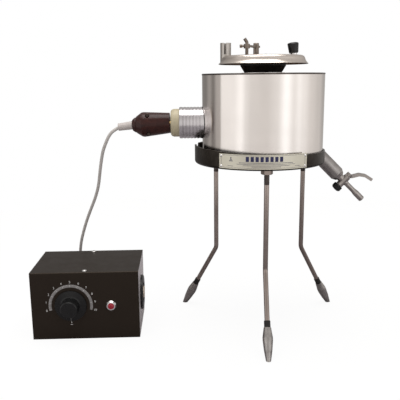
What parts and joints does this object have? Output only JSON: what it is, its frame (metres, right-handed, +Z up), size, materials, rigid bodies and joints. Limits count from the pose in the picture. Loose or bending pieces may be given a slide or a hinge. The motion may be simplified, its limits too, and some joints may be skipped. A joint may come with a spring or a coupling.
{
  "type": "tar viscometer",
  "caption": "Electrically heated tar viscometer: polished water bath on a tripod, turning stirrer shield, brass cup and ball valve, drain cock, and a corded heat regulator box.",
  "frame": {"origin": "on the bench, on the upright axis of the bath and cup, where the receiver stands", "axes": "+Z up along the bath's axis; +X towards the drain cock, with the heater and the regulator box on the -X side; -Y is the front, where the name plate and the dial face"},
  "size_m": [0.4616, 0.2171, 0.3906],
  "materials": {
    "jacket_aluminium": "polished",
    "tank_copper": "tinned, stained",
    "ring_enamel": "satin black enamel",
    "plate_metal": "satin",
    "leg_steel": "dull plated",
    "foot_metal": "plain grey casting",
    "sleeve_black": "matte",
    "chrome": "bright",
    "warm_chrome": "bright, spun",
    "nickel": "dull nickel plate",
    "brass": "machined",
    "bronze": "machined",
    "element_sheath": "dull",
    "porcelain": "unglazed cream",
    "bakelite": "moulded dark brown",
    "black_plastic": "moulded black",
    "collar_black": "matte black",
    "boot_rubber": "pale grey",
    "cord_grey": "grey-beige",
    "washer_fibre": "fibre",
    "case_black": "stoved black",
    "case_aluminium": "satin",
    "scale_print": "white print",
    "lens_red": "clear red",
    "wire_pvc": "insulated wire",
    "steel": "plain"
  },
  "bodies": {
    "base": {"stand_ring": "ring_enamel", "name_plate": "plate_metal", "plate_rivets": "chrome", "leg_front": "leg_steel", "leg_right": "leg_steel", "leg_left": "leg_steel", "feet": "foot_metal", "foot_sleeves": "sleeve_black", "leg_nuts": "nickel", "bath_jacket": "jacket_aluminium", "bath_tank": "tank_copper", "bath_rim": "jacket_aluminium", "central_tube": "tank_copper", "heater_boss": "brass", "heater_gasket": "washer_fibre", "heater_body": "brass", "heater_shroud": "chrome", "heater_insulator": "porcelain", "heater_pins": "brass", "heater_element": "element_sheath", "connector_front": "bakelite", "connector_back": "bakelite", "connector_contacts": "brass", "connector_screws": "chrome", "connector_boot": "boot_rubber", "heater_cord": "cord_grey", "drain_pipe": "tank_copper", "cock_body": "nickel", "case_cover": "case_black", "case_chassis": "case_aluminium", "case_rails": "steel", "case_screws": "chrome", "dial_scale": "scale_print", "energy_regulator": "bakelite", "pilot_bezel": "chrome", "pilot_lens": "lens_red", "mains_inlet": "black_plastic", "cord_gland": "black_plastic", "terminal_block": "porcelain", "case_wiring": "wire_pvc"},
    "stirrer": {"stirrer_cylinder": "chrome", "stirrer_vanes": "chrome", "shield_collar": "collar_black", "stirrer_shield": "warm_chrome", "shield_screws": "chrome", "thermometer_tube": "chrome", "stirrer_knob": "black_plastic", "knob_stud": "chrome", "valve_post": "chrome"},
    "valve_support": {"valve_arm": "chrome", "valve_clip": "chrome"},
    "cup_body": {"cup": "brass", "orifice_jet": "bronze"},
    "valve_body": {"valve": "brass"},
    "drain_plug": {"cock_plug": "nickel", "cock_nut": "black_plastic", "cock_lever": "nickel"},
    "regulator_control": {"regulator_knob": "black_plastic", "knob_pointer": "scale_print", "regulator_shaft": "steel"}
  },
  "joints": [
    {"name": "stirrer_turn", "type": "hinge", "parent": "base", "child": "stirrer", "pos_m": [0, 0, 0.345], "axis": [0, 0, 1], "continuous": true},
    {"name": "valve_support_swing", "type": "hinge", "parent": "stirrer", "child": "valve_support", "pos_m": [-0.0195, 0.024, 0.3785], "axis": [0, 0, -1], "range_deg": [0, 111.7]},
    {"name": "cup_lift", "type": "slide", "parent": "base", "child": "cup_body", "axis": [0, 0, 1], "range_m": [0, 0.02]},
    {"name": "valve_lift", "type": "slide", "parent": "cup_body", "child": "valve_body", "axis": [0, 0, 1], "range_m": [0, 0.012]},
    {"name": "drain_cock_turn", "type": "hinge", "parent": "base", "child": "drain_plug", "pos_m": [0.11169, 0, 0.19971], "axis": [-0.7071, 0, -0.7071], "range_deg": [0, 90]},
    {"name": "regulator_knob_turn", "type": "hinge", "parent": "base", "child": "regulator_control", "pos_m": [-0.25529, -0.06076, 0.0469], "axis": [-0.0349, 0.9994, 0], "range_deg": [0, 282]}
  ]
}
